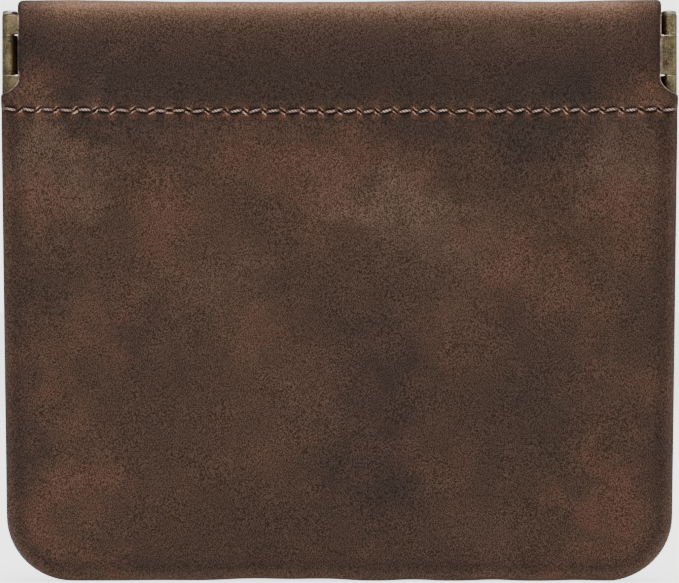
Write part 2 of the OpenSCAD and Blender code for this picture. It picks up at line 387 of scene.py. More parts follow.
def quarter_faces(outer_ids, inner_ids, ring_ids):
    """The faces of the two sheets, the ring, the flap's end and the cap at the ring's last section"""
    sheets, linings, borders, ends = [], [], [], []
    # the tongue at the middle is cut loose, so that the face's shading there is its own
    for part in (slice(0, TONGUE), slice(TONGUE, None)):
        outer, inner, ring = outer_ids[part], inner_ids[part], ring_ids[part]
        sheets.append(grid(outer))
        linings.append(grid(inner)[:, ::-1])
        borders.append(grid(ring)[:, [0, 3, 2, 1]])
        ends.append(np.stack([outer[:-1, -1], outer[1:, -1], inner[1:, -1], inner[:-1, -1]], axis=-1))
    last = ring_ids[-1]
    across = range((LAST - 1) // 2)
    cap = np.array([(last[k], last[k + 1], last[LAST - k - 1], last[LAST - k]) for k in across])
    return np.concatenate(sheets + linings + borders + ends + [cap])


def outline_inset(x, z):
    """How far in from the outline a point lies"""
    corner = CORNER_R - np.hypot(np.maximum(x - CORNER_X, 0), CORNER_R - z)
    return np.minimum(side_x(z) - x, np.where(z < CORNER_R, np.minimum(z, corner), 99))


def quarter_mesh(face, side):
    """One quarter of the leather with its masks, and each point's x, depth and z for the bend"""
    past = [-0.8, -0.4, 0.0]
    level = rows()
    edge, columns = quarter_edge(past, level)
    ring = quarter_ring(edge, level)
    outer, inner = quarter_sheets(past, level, ring, columns)
    samples = len(ring)
    outer_ids, inner_ids, ring_ids = quarter_ids(columns, outer.shape[1], samples)
    faces = quarter_faces(outer_ids, inner_ids, ring_ids)
    points = np.concatenate([outer.reshape(-1, 3), inner.reshape(-1, 3), ring[:, 1:LAST].reshape(-1, 3)])
    # 0 on the outer sheet, 1 on the inner one, and the share of the way round the section on the ring
    section = np.tile(np.arange(1, LAST) / LAST, samples)
    kind = np.concatenate([np.zeros(outer_ids.size), np.ones(inner_ids.size), section])
    on_face = kind < 0.5

    x, depth, z = points.T.copy()
    across = x if side == "right" else -x
    inset = outline_inset(x, z)
    fold = smooth(FOLD_Z - 1, FOLD_Z + 0.6, z)
    bump = relief(across, z, np.maximum(inset, 0), face)
    depth = depth + bump * smooth(0.6, 3.2, depth) * on_face * (1 - fold)
    z = z + bump * 0.7 * fold * on_face
    # the side seam wavers, and the bottom edge is drawn up a little near the middle
    waver = 0.09 * waves(across, z, 17, 51) + 0.05 * waves(across, z, 6, 52)
    x = x + waver * smooth(CORNER_X - 8, HALF_W, x) * (1 - smooth(FOOT - 12, FOOT - 1, z))
    z = z + (1 - smooth(2, 18, z)) * (0.28 * hump(across + 8, 12) + 0.06 * waves(across, 0 * x, 15, 53))
    z = z + fold * 0.1 * waves(across, 0 * x, 30, 54)
    # the tongue is thinner, so that it lies under its neighbour
    tongue = np.zeros(len(x), bool)
    for ids in (outer_ids, inner_ids, ring_ids):
        tongue[ids[:TONGUE].ravel()] = True
    depth = depth + np.where(tongue, np.where(on_face, -0.07, 0.07), 0)

    rest = np.stack([across, depth * (-1 if face == "front" else 1), z], axis=1)
    mesh = bpy.data.meshes.new(f"{face}_{side}_leather")
    # the way that the faces wind changes with the side and with the face
    flip = (side == "left") != (face == "back")
    mesh.from_pydata((rest * MM).tolist(), [], (faces[:, ::-1] if flip else faces).tolist())
    shade_smooth(mesh)
    add_masks(mesh, rest, kind, x, depth, z, inset, face)
    return add_object(mesh.name, mesh), x, np.abs(depth), z


def put(mesh, name, values):
    """Stores one value or one vector a point on a mesh"""
    kind, field = ("FLOAT", "value") if values.ndim == 1 else ("FLOAT_VECTOR", "vector")
    layer = mesh.attributes.new(name, kind, "POINT")
    layer.data.foreach_set(field, values.astype(np.float32).ravel())


# Stains and worn places on the leather: (x, z, radius across, radius up, strength)
WARM = [
    (-47, 62, 6, 5, 1.0), (-31, 62, 6, 6, 0.65), (-27, 57, 5, 4, 0.5), (-28, 51, 4, 5, 0.5),
    (-37, 47, 4, 5, 0.6), (-41, 38, 3, 7, 0.7), (-48, 32, 4, 5, 0.8), (-41, 18, 4, 7, 0.7),
    (-45, 12, 7, 6, 1.0), (-38, 2, 5, 3, 0.9), (48, 61, 6, 5, 0.9), (40, 61, 6, 4, 0.5),
    (26, 54, 4, 5, 0.7), (29, 49, 4, 4, 0.7), (37, 46, 4, 6, 0.7), (41, 38, 3, 6, 0.6),
    (48, 32, 4, 5, 0.7), (41, 18, 4, 7, 0.7), (45, 12, 6, 6, 0.9), (38, 2, 5, 3, 0.8),
    (-12, 70, 9, 4, 0.6), (-3, 67, 10, 5, 0.65), (8, 69, 7, 4, 0.6), (-7, 62, 9, 4, 0.4),
    (-14, 41, 7, 4, 0.65), (-12, 20, 6, 4, 0.7), (16, 40, 5, 4, 0.5), (15, 19, 5, 4, 0.5),
    (-6, 33, 6, 4, 0.25), (-22, 28, 6, 5, 0.2), (-50, 80, 5, 3, 1.2), (50, 80, 5, 3, 1.2),
    (-49, 91, 5, 3, 0.7), (49, 91, 5, 3, 0.7),
]
DARK = [
    (-37, 72, 9, 4, 0.5), (-24, 72, 8, 3, 0.4), (32, 72, 9, 5, 1.0), (17, 73, 8, 3, 0.5),
    (7, 34, 7, 10, 0.95), (7, 16, 7, 7, 0.95), (-34, 41, 6, 9, 0.5), (-29, 27, 8, 8, 0.3),
    (34, 37, 6, 7, 0.4), (32, 28, 7, 9, 0.4), (20, 26, 5, 4, 0.35), (-51, 20, 3, 11, 0.7),
    (51, 22, 3, 11, 0.7), (-51, 45, 3, 6, 0.5), (51, 45, 3, 6, 0.5), (-35, 10, 5, 7, 0.3),
    (-43, 83, 11, 6, 1.0), (38, 83, 10, 6, 0.55), (0, 85, 24, 7, 0.4), (22, 8, 9, 6, 0.3),
    (-12, 8, 9, 5, 0.2),
]
PALE = [
    (-51, 80, 4, 3, 1.0), (51, 80, 4, 3, 1.0), (-47, 62, 6, 5, 0.6), (-45, 73, 5, 5, 0.8),
    (-43, 67, 6, 5, 0.5), (45, 72, 5, 6, 0.8), (43, 66, 5, 4, 0.4), (7, 62, 9, 4, 1.0),
    (15, 58, 9, 4, 0.6), (24, 55, 7, 3, 0.4), (-3, 65, 8, 4, 0.4), (-42, 46, 4, 5, 0.3),
    (42, 42, 4, 7, 0.4), (26, 87, 9, 4, 0.5), (-18, 47, 9, 7, 0.3), (-3, 25, 9, 9, 0.2),
    (16, 50, 9, 6, 0.2),
]


def stains(places, x, z, seed):
    """The sum of soft, ragged blotches"""
    wx = x + 2.2 * waves(x, z, 12, seed) + 0.8 * waves(x, z, 4, seed + 1)
    wz = z + 2.2 * waves(x, z, 12, seed + 2) + 0.8 * waves(x, z, 4, seed + 3)
    total = 0 * x
    for px, pz, rx, rz, strength in places:
        total = total + strength * hump(wx - px, rx) * hump(wz - pz, rz)
    return total


def add_masks(mesh, rest, kind, x, depth, z, inset, face):
    """Stores the rest place of each point, where the leather is stained, worn, cut or frayed, and where
    highlight and shade are painted on it
    """
    across = rest[:, 0]
    seed = 0 if face == "front" else 5
    put(mesh, "rest", rest)
    put(mesh, "warm", np.clip(stains(WARM, across, z, 61 + seed), 0, 1.2))
    put(mesh, "dark", np.clip(stains(DARK, across, z, 71 + seed), 0, 1.2))
    put(mesh, "pale", np.clip(stains(PALE, across, z, 81 + seed), 0, 1))
    # flesh side and cut edges
    put(mesh, "suede", np.where(kind >= 0.5, 1.0, smooth(0.33, 0.45, kind) * smooth(77, 78.5, z)))
    # the fold at the mouth: worn, and lightened further as a painted highlight where the light from above
    # catches its round, weaker near its ends
    grain = 1 - (kind >= 0.5)
    fold = (0.3 + 0.7 * smooth(0.3, 2.4, depth)) / (1 + (np.maximum(TOP - 0.5 - z, 0) / 1.4) ** 2)
    fold = grain * fold * (1 - 0.65 * smooth(43, 51, x))
    put(mesh, "fold", np.where(fold < 0.02, 0, fold))
    # the raw line along the channel's end, rubbed away along the middle of the left one
    inside = np.maximum(inset, 0)
    above = smooth(78.4, 79, z) * smooth(1.9, 2.6, depth) * (kind < 0.45)
    rubbed = 0.85 * (across < 0) * smooth(81.8, 82.8, z) * (1 - smooth(87.8, 89, z))
    raw = hump(kind * LAST - 10, 0.6) * above * (1 - smooth(TOP - 2.4, TOP - 1.6, z))
    put(mesh, "raw", raw * (1 - rubbed))
    put(mesh, "end", hump(inside - 0.35, 0.3) * above)
    put(mesh, "channel", grain * smooth(FOOT - 0.6, FOOT + 1.4, z))
    # the pressed band inside the seam and along the channel's end, and painted shade along the step at the
    # flap's end
    band = np.where(z < FOOT, hump(inset - 2.3, 1.1), np.exp(-inside / 1.6) * smooth(FOOT, FOOT + 4, z))
    put(mesh, "band", grain * band * smooth(1.6, 3.3, depth))
    put(mesh, "step", grain * hump(z - FLAP_END, 0.4) * smooth(2, 3, depth))
    # edges and shoulders rubbed by the hand, and the shade in the turn of the seam
    rub = np.exp(-inside / 0.9) * (z < FOOT) + 0.8 * hump(x - 50.5, 3.5) * hump(z - 80, 2.6)
    put(mesh, "rub", np.clip(rub, 0, 1) * smooth(1.6, 3.3, depth) * grain)
    put(mesh, "shade", np.exp(-inside / 1.3) * (1 - smooth(1.6, 3.4, depth)) * grain)
    # where a point lies along the row of stitches, above it, and how the stitches lean there
    put(mesh, "stitch", (1 if face == "front" else -1) * stitch_count(across, face))
    put(mesh, "row", z - stitch_line(across))
    put(mesh, "sewn", grain * smooth(2.2, 3.2, depth) * (x < HALF_W - 0.3))
    put(mesh, "lean", stitch_lean(across, face))


# ---- How the leather bends as the mouth opens ----


def full_turn(joint):
    """A hinge's angle at full opening, in degrees"""
    return max(HINGES[joint]["range_deg"], key=abs)


def bend_table():
    """How far a point turns with its quarter's body, by distance from the middle and depth.
    At full opening the strips form a bow, and each point should lie on that bow at its own depth."""
    pole = np.array(HINGES["front_right_lean"]["pos_m"][:2]) / MM
    angle = math.radians(full_turn("front_right_lean"))
    flex = abs(full_turn("front_flex_1"))
    hinge = abs(full_turn("front_left_hinge"))
    link = abs(HINGES["front_flex_2"]["pos_m"][0] - HINGES["front_flex_1"]["pos_m"][0]) / MM
    # the bow's slope and its points, by the distance along it from the middle
    t = np.linspace(0, 60, 1201)
    phi = np.radians(np.minimum(t / link * flex, hinge))

    def trail(rate):
        return np.concatenate([[0], np.cumsum((rate[1:] + rate[:-1]) / 2) * (t[1] - t[0])])

    bow_x, bow_y = trail(np.cos(phi)), trail(np.sin(phi))
    # the bow's height is where the last link reaches the pin
    bow_y = bow_y - np.interp(PIN_X, t, bow_y) - STRIP_MID * math.cos(math.radians(hinge))
    turns = np.linspace(0.3, 2.1, 361)
    along, depths = np.linspace(-1, 56, 115), np.linspace(0, 4.6, 9)
    table = np.zeros((len(along), len(depths)))
    for a, u in enumerate(along):
        way = -1 if u < 0 else 1
        p = way * np.interp(abs(u), t, phi)
        cx, cy = way * np.interp(abs(u), t, bow_x), np.interp(abs(u), t, bow_y)
        for b, d in enumerate(depths):
            # of all turns, the one that brings the point nearest to its place on the bow
            tx, ty = cx + (d - STRIP_MID) * math.sin(p), cy - (d - STRIP_MID) * math.cos(p)
            rx, ry = u - pole[0], -d - pole[1]
            qx = pole[0] + rx * np.cos(turns * angle) - ry * np.sin(turns * angle)
            qy = pole[1] + rx * np.sin(turns * angle) + ry * np.cos(turns * angle)
            off = (qx - tx) * math.sin(p) - (qy - ty) * math.cos(p)
            slid = (qx - tx) * math.cos(p) + (qy - ty) * math.sin(p)
            table[a, b] = turns[np.argmin(off**2 + 0.4 * slid**2)]
    return along, depths, table


BEND_AT, BEND_DEPTH, BEND = bend_table()


def bend_weight(x, depth, z, side):
    """The bend of each point: full at the mouth, and none at the bottom seam"""
    a = np.clip((x - BEND_AT[0]) / (BEND_AT[1] - BEND_AT[0]), 0, len(BEND_AT) - 1.001)
    b = np.clip((depth - BEND_DEPTH[0]) / (BEND_DEPTH[1] - BEND_DEPTH[0]), 0, len(BEND_DEPTH) - 1.001)
    i, j = a.astype(int), b.astype(int)
    fa, fb = a - i, b - j
    near = BEND[i, j] * (1 - fa) + BEND[i + 1, j] * fa
    far = BEND[i, j + 1] * (1 - fa) + BEND[i + 1, j + 1] * fa
    weight = near * (1 - fb) + far * fb
    # one side lies a hair under the other where they cross in the middle
    if side == "right":
        weight = weight * (1 - 0.004 * hump(x, 2.0))
    return weight * np.clip(z / 75, 0, 1) ** 1.3


def bend(piece, face, side, weights):
    """Bends a piece between the still pouch and its quarter's body"""
    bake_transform(piece, "root", f"{face}_{side}", start=(0, 0, 0), end=(0, 0, 0.08))
    piece.data.attributes["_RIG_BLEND"].data.foreach_set("value", weights.astype(np.float32))


# ---- Thread ----

PLIES = 3
PLY_R = 0.138
PLY_OUT = 0.15
PLY_SIDES = 7
# length of one full turn of the twist
LAY = 1.5


def add_ply(made, x, depth, centre_depth, centre_z, arch, outward, tone):
    """Adds one ply, a tube round its own centre line beside the cord's, to the lists in made"""
    ring = np.linspace(0, 2 * math.pi, PLY_SIDES + 1)[:-1]
    size = PLY_R * (0.75 + 0.25 * arch)
    base = len(made["points"])
    for n in range(len(x)):
        for r in ring:
            point = (x[n], centre_depth[n] + size[n] * math.cos(r), centre_z[n] + size[n] * math.sin(r))
            # the ridge value: a painted highlight on the side of each ply that faces out, fading towards the
            # stitch's ends
            out = (point[1] - depth[n]) * outward / (PLY_OUT + PLY_R)
            made["points"].append(point)
            made["ridges"].append(max(0, out) * (0.35 + 0.65 * arch[n]))
            made["tones"].append(tone)
    for n in range(len(x) - 1):
        low, high = base + n * PLY_SIDES, base + (n + 1) * PLY_SIDES
        for i in range(PLY_SIDES):
            j = (i + 1) % PLY_SIDES
            made["faces"].append((low + i, low + j, high + j, high + i))
    last = base + (len(x) - 1) * PLY_SIDES
    made["faces"].append(tuple(base + i for i in range(PLY_SIDES - 1, -1, -1)))
    made["faces"].append(tuple(last + i for i in range(PLY_SIDES)))


def stitch_mesh(face, side):
    """The stitches of a quarter, outside and inside, with each point's x, depth and z for the bend"""
    rng = np.random.default_rng({"left": 5, "right": 6}[side] + (0 if face == "front" else 10))
    hand = 1 if face == "front" else -1
    made = {"points": [], "faces": [], "tones": [], "ridges": []}
    for k, (a, b) in enumerate(zip(HOLES[face], HOLES[face][1:])):
        middle = (a + b) / 2
        if (middle < 0) != (side == "left"):
            continue
        rise = 0.14 * (float(stitch_lean(np.array(middle), face)) * hand) + rng.uniform(-0.03, 0.03)
        for inside in (False, True):
            start = max(a, 0.05 - HALF_W) + rng.uniform(0.22, 0.42)
            end = min(b, HALF_W - 0.05) - rng.uniform(0.22, 0.42)
            t = np.linspace(0, 1, 19)
            x = start + (end - start) * t
            arch = np.sin(np.pi * t) ** 0.6
            z = stitch_line(x) + rise * (x - middle) * (-1 if inside else 1)
            if inside:
                depth = LIP + FLAP_STEP - 0.16 * arch + 0.4 * (1 - arch)
            else:
                # the outermost stitches follow the turned seam
                over = np.clip(SEAM_R - (HALF_W - np.abs(x)), 0, SEAM_R)
                drop = (SEAM_R - np.sqrt(SEAM_R**2 - over**2)) * (1 - smooth(PART_FROM, PART_TO, z))
                depth = SKIN - 0.2 + 0.22 * arch - 0.5 * (1 - arch) - drop
            twist = -2 * math.pi * (x - start) / LAY * hand + rng.uniform(0, 6)
            for ply in range(PLIES):
                turn = twist + ply * 2 * math.pi / PLIES
                offset = PLY_OUT * (0.8 + 0.2 * arch)
                centre_z, centre_depth = z + offset * np.sin(turn), depth + offset * np.cos(turn)
                add_ply(made, x, depth, centre_depth, centre_z, arch, -1 if inside else 1, k + 0.37 * ply)
    across, depth, z = np.array(made["points"]).T
    rest = np.stack([across, depth * (-1 if face == "front" else 1), z], axis=1)
    mesh = bpy.data.meshes.new(f"{face}_{side}_thread")
    faces = made["faces"] if face == "back" else [corners[::-1] for corners in made["faces"]]
    mesh.from_pydata((rest * MM).tolist(), [], faces)
    shade_smooth(mesh)
    put(mesh, "rest", rest)
    put(mesh, "tone", np.array(made["tones"]))
    put(mesh, "ridge", np.array(made["ridges"]))
    return add_object(mesh.name, mesh), across * (1 if side == "right" else -1), depth, z


# ---- Materials ----


class Nodes:
    """A material's nodes. Numbers are set on sockets, and other nodes' outputs are linked."""

    def __init__(self, name):
        self.material = bpy.data.materials.new(name)
        self.material.use_nodes = True
        self.tree = self.material.node_tree
        self.shader = self.tree.nodes["Principled BSDF"]

    def add(self, kind, sockets=None, output=0, **settings):
        made = self.tree.nodes.new("ShaderNode" + kind)
        for key, value in settings.items():
            setattr(made, key, value)
        self.fill(made, sockets or {})
        return made.outputs[output]

    def fill(self, made, sockets):
        for key, value in sockets.items():
            if isinstance(value, bpy.types.NodeSocket):
                self.tree.links.new(value, made.inputs[key])
            else:
                made.inputs[key].default_value = value

    def mask(self, name):
        """One value a point, stored on the mesh"""
        return self.add("Attribute", output=2, attribute_name=name)

    def rest(self):
        """Each point's rest place in millimetres, stored on the mesh"""
        return self.add("Attribute", output=1, attribute_name="rest")

    def object_mm(self):
        """Each point's place in its object, in millimetres"""
        return self.mapped(self.add("TexCoord", output=3), Scale=(1000.0, 1000.0, 1000.0))

    def mapped(self, place, **sockets):
        """A place that is moved, turned or scaled"""
        return self.add("Mapping", {"Vector": place, **sockets})

    def math(self, operation, a, b=0.0):
        return self.add("Math", {0: a, 1: b}, operation=operation)

    def noise(self, place, scale, detail=3.0, rough=0.55, distortion=0.0):
        sockets = {"Vector": place, "Scale": scale, "Detail": detail}
        return self.add("TexNoise", sockets | {"Roughness": rough, "Distortion": distortion})

    def range(self, value, a, b, c=0.0, d=1.0):
        """The value taken from the range a to b to the range c to d, and held there"""
        return self.add("MapRange", {0: value, 1: a, 2: b, 3: c, 4: d}, clamp=True)

    def stirred(self, value, noise, amount):
        """A value moved up and down by a noise about its mean"""
        return self.math("ADD", value, self.math("MULTIPLY", self.math("SUBTRACT", noise, 0.5), amount))

    def mix(self, share, a, b, blend="MIX"):
        made = self.tree.nodes.new("ShaderNodeMix")
        made.data_type, made.blend_type = "RGBA", blend
        self.fill(made, {0: share, 6: a, 7: b})
        return made.outputs[2]

    def over(self, under, mask, strength, tint):
        """A tint laid over another one by a share of a mask"""
        return self.mix(self.math("MULTIPLY", mask, strength), under, tint)

    def spot(self, across, up, wide, high):
        """1 inside an ellipse of these half widths, fading to 0 at its edge"""
        at = self.add("CombineXYZ", {0: self.math("DIVIDE", across, wide), 1: self.math("DIVIDE", up, high)})
        return self.range(self.add("VectorMath", {0: at}, output=1, operation="LENGTH"), 1.0, 0.4)

    def bump(self, height, strength, distance, under=None):
        sockets = {"Height": height, "Strength": strength, "Distance": distance}
        if under is not None:
            sockets["Normal"] = under
        return self.add("Bump", sockets)

    def done(self, **sockets):
        self.fill(self.shader, {key.replace("_", " "): value for key, value in sockets.items()})
        return self.material


def colour(r, g, b):
    """A colour given as it looks on screen, from 0 to 255"""
    shares = (r / 255, g / 255, b / 255)
    return tuple(s / 12.92 if s <= 10 / 255 else ((s + 0.055) / 1.055) ** 2.4 for s in shares) + (1.0,)


def stitch_marks(m, at):
    """Masks for one stitch hole and its thread, repeated along the row. Each hole is a slanting slit, and
    the thread leans the other way from the lower end of one slit to the upper end of the next."""
    count, lean, row = m.mask("stitch"), m.mask("lean"), m.mask("row")
    shake = m.noise(at, 2.6, 3, 0.7)
    across = m.math("MULTIPLY", m.math("SUBTRACT", m.math("FRACT", m.math("ADD", count, 0.5)), 0.5), PITCH)
    across = m.math("ADD", across, m.range(shake, 0.3, 0.7, -0.16, 0.16))
    up = m.math("ADD", row, m.range(m.noise(at, 2.1, 3, 0.7), 0.3, 0.7, 0.13, -0.13))
    # along and beside the slit, which slants by about 38 degrees
    tilted = m.math("MULTIPLY", lean, 0.62)
    along = m.math("SUBTRACT", m.math("MULTIPLY", across, 0.78), m.math("MULTIPLY", up, tilted))
    beside = m.math("ADD", m.math("MULTIPLY", across, tilted), m.math("MULTIPLY", up, 0.78))
    below = m.spot(along, m.math("ADD", beside, 0.27), 0.85, 0.15)
    above = m.spot(along, m.math("SUBTRACT", beside, 0.3), 0.75, 0.12)
    rim = m.math("MAXIMUM", below, m.math("MULTIPLY", above, 0.6))
    frayed = m.range(m.math("ADD", shake, m.noise(at, 0.4, 1)), 0.8, 1.15, 0.2, 1.0)
    rough = m.spot(across, m.math("ADD", up, 0.3), 1.2, 1.7)
    # the thread's painted shadow follows the thread between two holes
    middle = m.math("MULTIPLY", m.math("SUBTRACT", m.math("FRACT", count), 0.5), PITCH)
    thread = m.math("SUBTRACT", row, m.math("MULTIPLY", m.math("MULTIPLY", middle, lean), 0.14))
    marks = {
        # the slit is painted near black, as painted shade inside the hole
        "slit": m.spot(along, beside, 0.7, 0.23),
        "rim": m.math("MULTIPLY", rim, frayed),
        "rough": m.math("MULTIPLY", rough, m.range(shake, 0.35, 0.65, 0.0, 0.6)),
        "thread_shadow": m.math("MULTIPLY", m.spot(middle, m.math("ADD", thread, 0.06), 1.7, 0.72), 0.9),
    }
    sewn = m.mask("sewn")
    return {name: m.math("MULTIPLY", mark, sewn) for name, mark in marks.items()}


def leather_grain(m, at, other):
    """A fine grain, and with it the same grain crossed by short streaks that lean to either side"""
    fine = m.noise(at, 6.0, 0)
    lean = m.noise(m.mapped(at, Rotation=(0.0, 0.5, 0.0), Scale=(6.4, 1.0, 2.6)), 1.0, 0)
    tilt = m.noise(m.mapped(at, Rotation=(0.0, -0.6, 0.0), Scale=(6.4, 1.0, 2.6)), 1.0, 0)
    streak = m.add("Mix", {0: m.range(other, 0.4, 0.6), 2: lean, 3: tilt})
    return fine, m.math("ADD", m.math("MULTIPLY", fine, 0.6), m.math("MULTIPLY", streak, 0.4))


def leather_material():
    """Oiled leather: clouds of oil and wax, a fine grain, worn fold and edges with a painted highlight on the
    fold, painted shade and shadow at the seam, step, stitches and holes, torn holes, and a raw back
    """
    m = Nodes("oiled_leather")
    at = m.rest()
    broad = m.noise(at, 0.06, 3, 0.55, 0.8)
    patch = m.noise(at, 0.2, 4, 0.55, 0.5)
    other = m.noise(m.mapped(at, Location=(40.0, 0.0, 70.0)), 0.11, 4, 0.6, 0.6)
    # clouds: redder where the wax is rubbed thin, darker and colder where the oil lies deep
    warm = m.range(m.stirred(m.mask("warm"), patch, 0.45), 0.0, 1.1)
    dark = m.range(m.stirred(m.mask("dark"), other, 0.5), 0.0, 1.1)
    pale = m.range(m.stirred(m.mask("pale"), broad, 1.0), 0.0, 1.1)
    tint = m.mix(m.range(broad, 0.3, 0.7), colour(53, 40, 31), colour(61, 44, 34))
    tint = m.over(tint, dark, 0.8, colour(40, 31, 27))
    tint = m.over(tint, pale, 0.8, colour(79, 60, 50))
    tint = m.over(tint, warm, 0.55, colour(83, 54, 43))
    tint = m.over(tint, m.mask("channel"), 0.4, colour(34, 25, 23))
    # the fold, worn and lightened further as a painted highlight, and worn edges; then what is pressed or
    # burnished dark, with painted shade in the turn of the seam and along the flap's step
    tint = m.mix(m.mask("fold"), tint, colour(122, 92, 74))
    ragged = m.range(m.noise(at, 1.1, 5, 0.7), 0.35, 0.65)
    tint = m.over(tint, m.mask("rub"), m.range(ragged, 0.0, 1.0, 0.15, 0.7), colour(98, 68, 50))
    tint = m.over(tint, m.mask("band"), 0.35, colour(30, 22, 19))
    tint = m.over(tint, m.mask("shade"), 0.7, colour(24, 18, 16))
    # painted shade along the step at the flap's end
    tint = m.over(tint, m.mask("step"), 0.3, colour(24, 18, 16))
    tint = m.over(tint, m.mask("end"), 0.55, colour(24, 17, 16))
    # rough, reddish leather round the stitches
    sew = stitch_marks(m, at)
    tint = m.mix(sew["rough"], tint, colour(98, 62, 42))
    # the grain only lightens and darkens the colour below it
    fine, grain = leather_grain(m, at, other)
    value = m.mix(m.range(grain, 0.405, 0.595), (0.46, 0.36, 0.17, 1), (1.54, 1.63, 1.83, 1))
    # the painted highlight on the fold also softens the grain there
    value = m.over(value, m.mask("fold"), 0.4, (1.0, 1.0, 1.0, 1))
    tint = m.mix(1.0, tint, value, "MULTIPLY")
    # the thread's painted shadow, the torn rims of the holes, and the holes painted near black as painted
    # shade inside them
    tint = m.mix(sew["thread_shadow"], tint, colour(22, 14, 12))
    tint = m.mix(sew["rim"], tint, colour(220, 178, 152))
    # painted shade in the holes
    tint = m.mix(sew["slit"], tint, colour(8, 5, 5))
    # flesh side and cut edges
    fibre = m.noise(at, 1.7, 6, 0.75)
    flesh = m.mix(m.range(fibre, 0.3, 0.7), colour(96, 68, 50), colour(142, 108, 84))
    cut = m.mix(m.mask("end"), flesh, colour(70, 50, 40))
    tint = m.mix(m.mask("suede"), tint, cut)
    broken = m.range(m.math("ADD", fibre, m.noise(at, 0.45, 2)), 0.8, 1.15)
    tint = m.over(tint, m.mask("raw"), broken, colour(206, 176, 162))
    # long creases, the grain and its cells, and the lips of the holes
    creases = m.noise(m.mapped(at, Scale=(0.35, 1.0, 1.2)), 0.9, 5, 0.7, 1.2)
    cells = m.add("TexVoronoi", {"Vector": at, "Scale": 3.2, "Randomness": 1.0}, feature="SMOOTH_F1")
    bumped = m.bump(m.range(creases, 0.44, 0.52), 0.12, 0.06 * MM)
    bumped = m.bump(m.math("ADD", grain, m.math("MULTIPLY", cells, 0.3)), 0.6, 0.08 * MM, bumped)
    bumped = m.bump(m.math("SUBTRACT", sew["rim"], sew["slit"]), 0.7, 0.12 * MM, bumped)
    shine = m.range(m.math("ADD", fine, m.math("MULTIPLY", patch, 0.8)), 0.3, 1.5, 0.66, 0.44)
    shine = m.mix(m.mask("suede"), shine, (0.93, 0.93, 0.93, 1))
    return m.done(Base_Color=tint, Roughness=shine, Normal=bumped, Specular_IOR_Level=0.12)


def thread_material():
    """Waxed cord: pale pinkish ridges, a painted highlight on the crests that face out, and dark red-brown
    between the plies
    """
    m = Nodes("twisted_thread")
    fibres = m.noise(m.mapped(m.rest(), Scale=(1.5, 3.0, 5.0)), 2.4, 3, 0.6)
    # crest: painted highlight where the ridge faces out
    crest = m.range(m.stirred(m.mask("ridge"), fibres, 0.5), 0.5, 0.95)
    tint = m.mix(crest, colour(48, 24, 19), colour(228, 190, 170))
    # some stitches are duller than others
    each = m.add("TexWhiteNoise", {1: m.math("FLOOR", m.mask("tone"))}, noise_dimensions="1D")
    tint = m.over(tint, each, 0.5, colour(84, 56, 50))
    bumped = m.bump(fibres, 0.5, 0.05 * MM)
    return m.done(Base_Color=tint, Roughness=0.45, Normal=bumped, Specular_IOR_Level=0.5)


def seam_material():
    """The seam's thread, hidden in the turned edge"""
    m = Nodes("seam_thread")
    fibres = m.noise(m.object_mm(), 3.0, 3, 0.6)
    tint = m.mix(m.range(fibres, 0.35, 0.65), colour(50, 28, 24), colour(120, 88, 78))
    bumped = m.bump(fibres, 0.5, 0.05 * MM)
    return m.done(Base_Color=tint, Roughness=0.5, Normal=bumped, Specular_IOR_Level=0.4)


def metal_material(name, clean, tarnish, worn_and_highlight, roughness, grain):
    """Plated metal: tarnish in patches, edges rubbed bright with a painted highlight on top and painted shade
    below, dirt and painted shade in the corners and towards the foot, a rolled grain and small pits
    """
    m = Nodes(name)
    mm = m.object_mm()
    cloud = m.noise(mm, 0.55, 5, 0.65, 0.5)
    speck = m.noise(mm, 4.5, 3, 0.65)
    rolled = m.noise(m.mapped(mm, Scale=grain), 3.0, 4, 0.6)
    tint = m.mix(m.range(cloud, 0.38, 0.62), clean, tarnish)
    tint = m.mix(m.range(speck, 0.52, 0.72, 0.0, 0.4), tint, worn_and_highlight)
    tint = m.mix(m.range(speck, 0.45, 0.3, 0.0, 0.7), tint, colour(40, 34, 26))
    # an edge that faces down is darkened as painted shade, and any other is rubbed bright and lit further as
    # a painted highlight
    rounded = m.add("Bevel", {"Radius": 0.2 * MM}, samples=6)
    flat = m.add("NewGeometry", output=1)
    sharp = m.add("VectorMath", {0: rounded, 1: flat}, output=1, operation="DOT_PRODUCT")
    edge = m.range(m.stirred(sharp, speck, 0.12), 0.99, 0.88)
    up = m.add("SeparateXYZ", {0: rounded}, output=2)
    tint = m.over(tint, edge, m.range(up, -0.2, 0.0, 0.0, 0.85), worn_and_highlight)
    tint = m.over(tint, edge, m.range(up, -0.1, -0.3, 0.0, 0.9), colour(20, 16, 12))
    # dirt and painted shade in the corners, painted shade towards the foot under the leather's shoulder, and
    # a little darker on the left than on the right
    corner = m.add("AmbientOcclusion", {"Distance": 0.8 * MM}, output=1, samples=4)
    tint = m.mix(m.range(corner, 0.6, 0.2, 0.0, 0.55), tint, colour(30, 25, 19))
    height = m.add("SeparateXYZ", {0: mm}, output=2)
    tint = m.mix(m.range(height, STRIP_FOOT + 3.6, STRIP_FOOT + 1.5, 0.0, 0.5), tint, colour(44, 37, 28))
    across = m.add("SeparateXYZ", {0: mm}, output=0)
    tint = m.mix(m.range(across, 40, -40, 0.0, 0.08), tint, colour(56, 48, 36))
    dull = m.math("ADD", cloud, m.math("MULTIPLY", speck, 0.5))
    shine = m.range(dull, 0.5, 1.0, roughness - 0.08, roughness + 0.14)
    bumped = m.bump(m.math("ADD", rolled, m.math("MULTIPLY", speck, 0.8)), 0.45, 0.06 * MM, rounded)
    return m.done(Base_Color=tint, Metallic=1.0, Roughness=shine, Normal=bumped)


